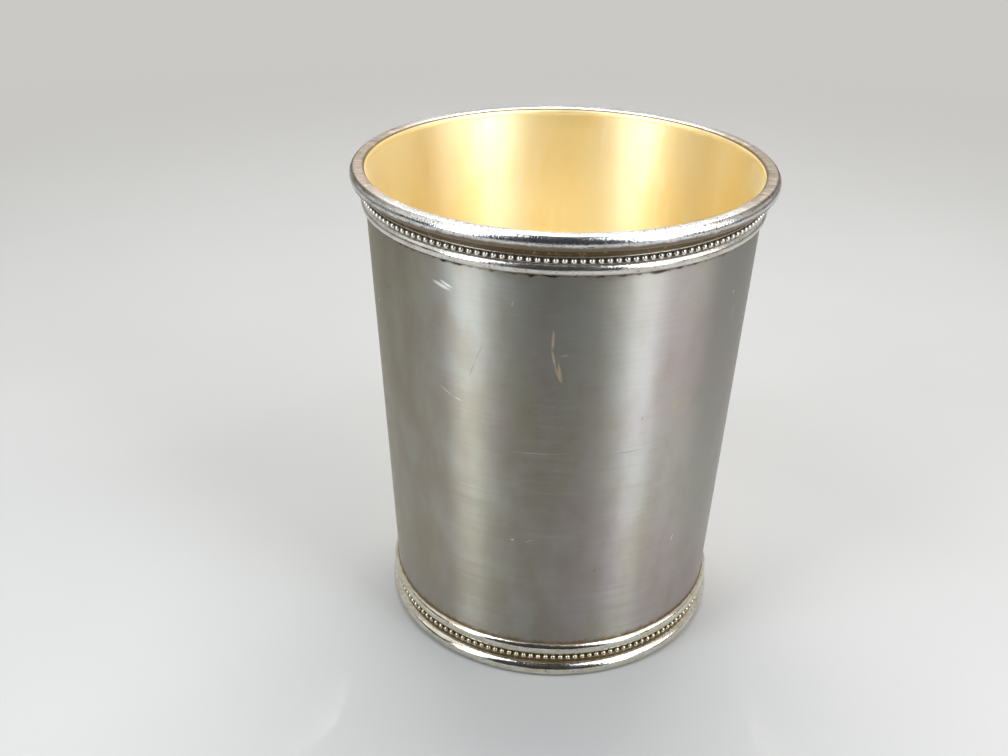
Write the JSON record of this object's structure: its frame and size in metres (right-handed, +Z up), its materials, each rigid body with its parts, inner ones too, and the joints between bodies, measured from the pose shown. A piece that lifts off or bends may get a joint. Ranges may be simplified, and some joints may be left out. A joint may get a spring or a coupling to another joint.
{
  "type": "julep cup",
  "caption": "Straight-tapered silver cup without a handle, gilt inside, with beaded wire borders round its lip and foot and a set-in flat floor, for holding a cold drink.",
  "frame": {"origin": "on the cup's axis, in the plane that the foot stands on", "axes": "+Z up along the cup's axis; X and Y are alike, since every piece is round"},
  "size_m": [0.08, 0.08, 0.0953],
  "materials": {
    "satin_silver": "satin sterling silver, worn and lightly tarnished",
    "polished_silver": "polished sterling silver wire with fine wear",
    "beaded_silver": "bright bead crowns with brown tarnish between them",
    "gold_wash": "satin gold wash"
  },
  "bodies": {
    "root": {"cup_wall": "satin_silver", "floor_disc": "satin_silver", "gilt_lining": "gold_wash", "rim_roll": "polished_silver", "rim_bead_strip": "beaded_silver", "rim_reed_wire": "polished_silver", "foot_reed_wire": "polished_silver", "foot_bead_strip": "beaded_silver", "foot_ring": "polished_silver"}
  },
  "joints": []
}
